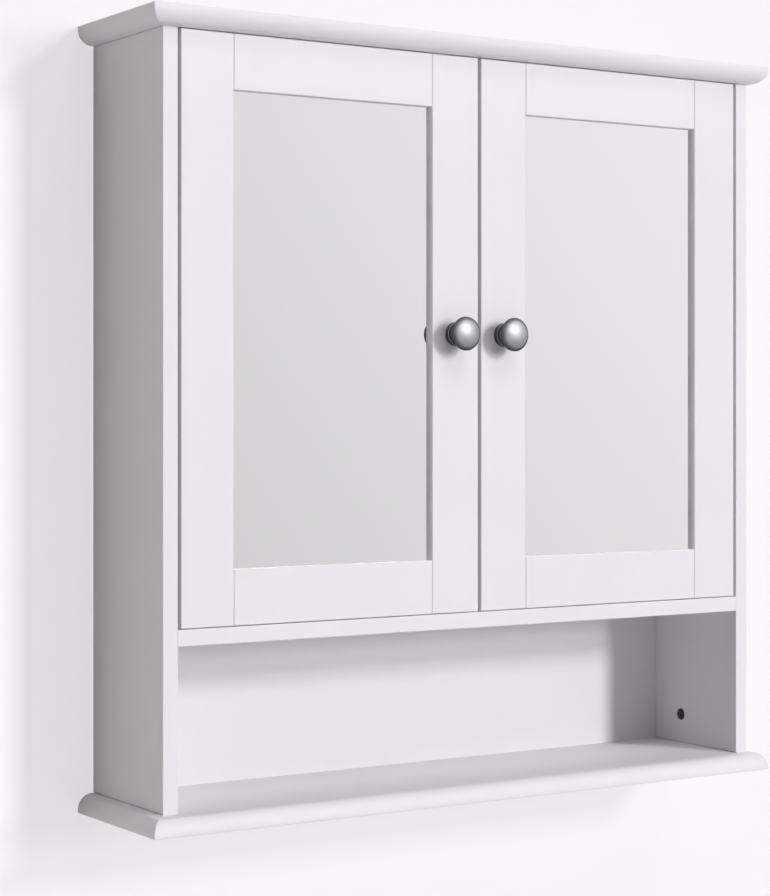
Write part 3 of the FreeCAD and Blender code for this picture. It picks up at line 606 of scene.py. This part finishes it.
# Magnetic catch under the top board, and the strike plates on the doors
CASE_REAR, CASE_DEPTH, POCKET_DEPTH = -81.0, 14.0, 10.3
CASE_FOOT, CASE_EAR_FOOT = 553.0, 563.0


def catch_case(bm):
    """Moulded case with an ear at each end and a pocket for each magnet."""
    half = [(30, TOP_JOINT), (30, CASE_EAR_FOOT), (22, CASE_EAR_FOOT), (22, CASE_FOOT)]
    outline = [(-x, z) for x, z in half] + half[::-1]
    corners = [bm.verts.new((x, CASE_REAR, z)) for x, z in outline]
    edges = [bm.edges.new(pair) for pair in zip(corners, corners[1:] + corners[:1])]
    rear = bmesh.ops.contextual_create(bm, geom=edges)["faces"]
    push_out(bm, rear, FORWARD * CASE_DEPTH)
    lower = [e for e in bm.edges if all(v.co.z < CASE_FOOT + 1 for v in e.verts) and e.calc_length() < 20]
    round_off(bm, lower, 2.0, 5)
    bmesh.ops.recalc_face_normals(bm, faces=bm.faces)

    def front():
        """Faces of the case's front."""
        return [f for f in bm.faces if f.normal.y < -0.99]

    for x in (-19.1, -6.9, 6.9, 19.1):
        score(bm, front(), RIGHT * x, RIGHT)
    for z in (554.9, 561.1):
        score(bm, front(), UP * z, UP)
    mouths = []
    for face in front():
        middle = face.calc_center_median()
        if abs(middle.z - MAGNET_HEIGHT) < 1 and abs(abs(middle.x) - MAGNET_ASIDE) < 1:
            mouths.append(face)
    push_out(bm, mouths, BACKWARD * POCKET_DEPTH)
    bmesh.ops.delete(bm, geom=[f for f in mouths if f.is_valid], context="FACES")


def strike_plate(bm):
    """Pressed plate with rounded corners and a hole for its screw, on the rear of the left door."""
    bmesh.ops.create_grid(bm, x_segments=1, y_segments=1, size=0.5)
    bmesh.ops.scale(bm, vec=(16.0, 10.0, 1.0), verts=bm.verts)
    round_off(bm, list(bm.verts), 1.5, 5, "VERTICES")
    bmesh.ops.delete(bm, geom=list(bm.faces), context="FACES_ONLY")
    bmesh.ops.create_circle(bm, cap_ends=False, segments=24, radius=2.55)
    bmesh.ops.bridge_loops(bm, edges=list(bm.edges))
    push_out(bm, list(bm.faces), (0, 0, 1.4))
    turn = BACKWARD.to_track_quat("Z", "Y").to_matrix().to_4x4()
    seat = Matrix.Translation((-MAGNET_ASIDE, DOOR_REAR, MAGNET_HEIGHT))
    bmesh.ops.transform(bm, matrix=seat @ turn, verts=bm.verts)


case, magnets, catch_screws = bmesh.new(), bmesh.new(), bmesh.new()
catch_case(case)
for side in (-1, 1):
    middle = side * MAGNET_ASIDE
    block(magnets, (middle - 6, -95.8, 555.0), (middle + 6, -84.8, 561.0), 0.6, BACKWARD)
    stamp(catch_screws, HINGE_SCREW, (side * 26.0, -88.0, CASE_EAR_FOOT), -UP)
ease_edges(fit_piece(case, "moulded_catch_case", "carcass", "white_plastic", ["catch_housing"]), 0.4)
ease_edges(fit_piece(magnets, "ground_pole_blocks", "carcass", "magnet_steel", ["catch_magnets"]), 0.2)
fit_piece(catch_screws, "catch_cross_screws", "carcass", "zinc_plated_steel", ["catch_screws"])

for side, mirrored in DOORS:
    door, slot = side + "_door", "zinc_plated_steel"
    plate, screw = bmesh.new(), bmesh.new()
    strike_plate(plate)
    made = fit_piece(plate, side + "_pressed_strike", door, slot, [side + "_strike_plate"], mirrored)
    ease_edges(made, 0.2)
    stamp(screw, STRIKE_SCREW, (-MAGNET_ASIDE, DOOR_REAR + 0.4, MAGNET_HEIGHT), BACKWARD)
    fit_piece(screw, side + "_strike_cross_screw", door, slot, [side + "_strike_screw"], mirrored)

# Wall behind the cabinet, and the floor below it, in metres
WALL_Y = 0.3 * MM
FLOOR_Z = -1.15
REACH = 7.0
OPEN_X, OPEN_LOW, OPEN_HIGH = 0.2685, 0.0015, 0.5785
NEAR, FAR = 1.2, 4.5


def stage_paint(name, colour, near, far, gloss):
    """Matt paint. To the camera it is lifted towards white by two shares, one within 1.2 m of the cabinet
    and one beyond 4.5 m, so that it keeps a pale shadow. Mirror and metal see a part of that lift."""
    made = bpy.data.materials.new(name)
    made.use_nodes = True
    tree = made.node_tree
    tree.nodes.clear()
    matt = put(tree, "ShaderNodeBsdfDiffuse", values={"Color": linear(colour)})
    glow = put(tree, "ShaderNodeEmission", values={"Color": linear("#FCF9FF"), "Strength": 1.07})
    rays = put(tree, "ShaderNodeLightPath").outputs
    seen = rays["Is Camera Ray"]
    for kind in ("Is Glossy Ray", "Is Transmission Ray"):
        seen = reckon(tree, "MULTIPLY_ADD", rays[kind], gloss, seen)
    place = put(tree, "ShaderNodeNewGeometry").outputs["Position"]
    away = put(tree, "ShaderNodeVectorMath", {"operation": "LENGTH"}, links={0: place}).outputs["Value"]
    lift = span(tree, away, NEAR, FAR, near, far, "SMOOTHSTEP")
    share = reckon(tree, "MULTIPLY", seen, lift)
    pale = put(tree, "ShaderNodeMixShader", links={0: share, 1: matt.outputs[0], 2: glow.outputs[0]})
    return made, tree, pale.outputs[0]


def flat_sheet(name, low, high, paint, turn):
    """One face of the room, drawn from two corners."""
    bm = bmesh.new()
    middle = Matrix.Translation((Vector(low) + Vector(high)) / 2)
    bmesh.ops.create_grid(bm, x_segments=1, y_segments=1, size=0.5)
    wide = Vector(high) - Vector(low)
    bmesh.ops.scale(bm, vec=(wide.x, wide.y or wide.z, 1), verts=bm.verts)
    bmesh.ops.transform(bm, matrix=middle @ turn, verts=bm.verts)
    mesh = bpy.data.meshes.new(name)
    bm.to_mesh(mesh)
    bm.free()
    mesh.materials.append(paint)
    made = bpy.data.objects.new(name, mesh)
    scene.collection.objects.link(made)


wall_paint, tree, pale = stage_paint("matt_wall_paint", "#EBE8E4", 0.585, 0.585, 1.0)
# seen from behind, the wall is clear, and so it is to what touches it, which would be black there otherwise
behind = put(tree, "ShaderNodeNewGeometry").outputs["Backfacing"]
reach = put(tree, "ShaderNodeLightPath").outputs["Ray Length"]
unseen = reckon(tree, "MAXIMUM", behind, reckon(tree, "LESS_THAN", reach, 0.7 * MM))
clear = put(tree, "ShaderNodeBsdfTransparent").outputs[0]
one_sided = put(tree, "ShaderNodeMixShader", links={0: unseen, 1: pale, 2: clear})
put(tree, "ShaderNodeOutputMaterial", links={"Surface": one_sided.outputs[0]})
floor_paint, tree, pale = stage_paint("matt_floor_paint", "#DADADA", 0.1, 0.8, 0.7)
put(tree, "ShaderNodeOutputMaterial", links={"Surface": pale})

# the wall is left open behind the carcass, so that light reaches its rear
upright = Matrix.Rotation(math.radians(90), 4, "X")
for name, x0, x1, z0, z1 in (
    ("wall_left", -REACH, -OPEN_X, FLOOR_Z, REACH),
    ("wall_right", OPEN_X, REACH, FLOOR_Z, REACH),
    ("wall_below", -OPEN_X, OPEN_X, FLOOR_Z, OPEN_LOW),
    ("wall_above", -OPEN_X, OPEN_X, OPEN_HIGH, REACH),
):
    flat_sheet(name, (x0, WALL_Y, z0), (x1, WALL_Y, z1), wall_paint, upright)
flat_sheet("floor", (-REACH, -REACH, FLOOR_Z), (REACH, REACH, FLOOR_Z), floor_paint, Matrix())

# World: white to the camera, a pale room to mirror and metal, and soft light from above, before and behind
ROOM_LEVEL, ROOM_TO_RIGHT, ROOM_TO_TOP = 0.385, 0.78, 0.45
ROOM_DARKEST, ROOM_PALEST = 0.44, 1.0
WINDOW_TOWARD, WINDOW_LEVEL, WINDOW_THROWN = (0.130, -0.895, 0.425), 12.0, 0.45
WINDOW_EDGE, WINDOW_CORE = math.cos(math.radians(26)), math.cos(math.radians(8))
SKY_ABOVE, SKY_BEFORE, SKY_BEHIND = 0.02, 0.135, 1.1
world = bpy.data.worlds.new("studio")
scene.world = world
world.use_nodes = True
tree = world.node_tree
tree.nodes.clear()
toward = put(tree, "ShaderNodeTexCoord").outputs["Generated"]
split = put(tree, "ShaderNodeSeparateXYZ", links={0: toward}).outputs
rays = put(tree, "ShaderNodeLightPath").outputs
camera_ray = rays["Is Camera Ray"]
gloss_ray = reckon(tree, "MAXIMUM", rays["Is Glossy Ray"], rays["Is Transmission Ray"])
# what mirror and metal see: paler to the right and above, with a soft bright window high in front, which is
# weaker in what gloss throws on to matt surfaces
slope = reckon(tree, "MULTIPLY_ADD", split["X"], ROOM_TO_RIGHT, ROOM_LEVEL)
slope = reckon(tree, "MULTIPLY_ADD", split["Z"], ROOM_TO_TOP, slope)
walls = put(tree, "ShaderNodeClamp", values={"Min": ROOM_DARKEST, "Max": ROOM_PALEST}, links={"Value": slope})
near = put(tree, "ShaderNodeVectorMath", {"operation": "DOT_PRODUCT"}, {1: WINDOW_TOWARD}, {0: toward})
window = span(tree, near.outputs["Value"], WINDOW_EDGE, WINDOW_CORE, 0.0, WINDOW_LEVEL, "SMOOTHSTEP")
share = span(tree, rays["Diffuse Depth"], 0.0, 1.0, 1.0, WINDOW_THROWN)
room = reckon(tree, "ADD", walls.outputs[0], reckon(tree, "MULTIPLY", window, share))
# what lights the matt surfaces
sky = span(tree, split["Z"], 0.0, 1.0, 0.0, SKY_ABOVE)
for way, level in ((-1.0, SKY_BEFORE), (1.0, SKY_BEHIND)):
    sky = reckon(tree, "ADD", sky, span(tree, split["Y"], 0.0, way, 0.0, level))
level = put(tree, "ShaderNodeMix", links={"Factor": gloss_ray, "A": sky, "B": room}).outputs[0]
level = put(tree, "ShaderNodeMix", values={"B": 1.0}, links={"Factor": camera_ray, "A": level}).outputs[0]
plain = reckon(tree, "MAXIMUM", gloss_ray, camera_ray)
tint = put(tree, "ShaderNodeMix", {"data_type": "RGBA"}, links={"Factor": plain})
tint.inputs[6].default_value = (1.03, 1.0, 0.96, 1)
tint.inputs[7].default_value = (1, 1, 1, 1)
shine = put(tree, "ShaderNodeBackground", links={"Color": tint.outputs[2], "Strength": level})
put(tree, "ShaderNodeOutputWorld", links={"Surface": shine.outputs[0]})

# Lights: two soft boxes one above the other, to the right in front, and a wide one from above
CABINET_MIDDLE = Vector((0, -0.06, 0.29))
LAMP_DISTANCE = 21.0


def soft_box(name, direction, wide, high, watts):
    """Soft box so far from the cabinet that its light doesn't fall off, and not seen in its gloss."""
    lamp = bpy.data.lights.new(name, "AREA")
    lamp.shape = "RECTANGLE"
    lamp.size = wide
    lamp.size_y = high
    lamp.energy = watts
    lamp.color = (0.99, 1.0, 1.03)
    made = bpy.data.objects.new(name, lamp)
    scene.collection.objects.link(made)
    ray = Vector(direction).normalized()
    made.location = CABINET_MIDDLE + ray * LAMP_DISTANCE
    made.rotation_euler = ray.to_track_quat("Z", "Y").to_euler()
    made.visible_camera = False
    made.visible_glossy = False


soft_box("upper_soft_box", (0.53, -1.0, 0.41), 2.6, 2.8, 1665)
soft_box("lower_soft_box", (0.53, -1.0, 0.14), 2.6, 4.05, 1415)
soft_box("top_soft_box", (0.1, -1.0, 1.5), 8.0, 5.0, 880)

# Camera, at the photograph's place
lens = bpy.data.cameras.new("camera")
lens.sensor_width = 36.0
lens.lens = 90.814
lens.shift_x = -0.00965
lens.shift_y = -0.04672
camera = bpy.data.objects.new("camera", lens)
camera.location = (-0.99109, -1.52520, 0.29995)
camera.rotation_euler = (math.radians(90), 0, math.radians(-32.874))
scene.collection.objects.link(camera)
scene.camera = camera

scene.view_settings.view_transform = "Standard"
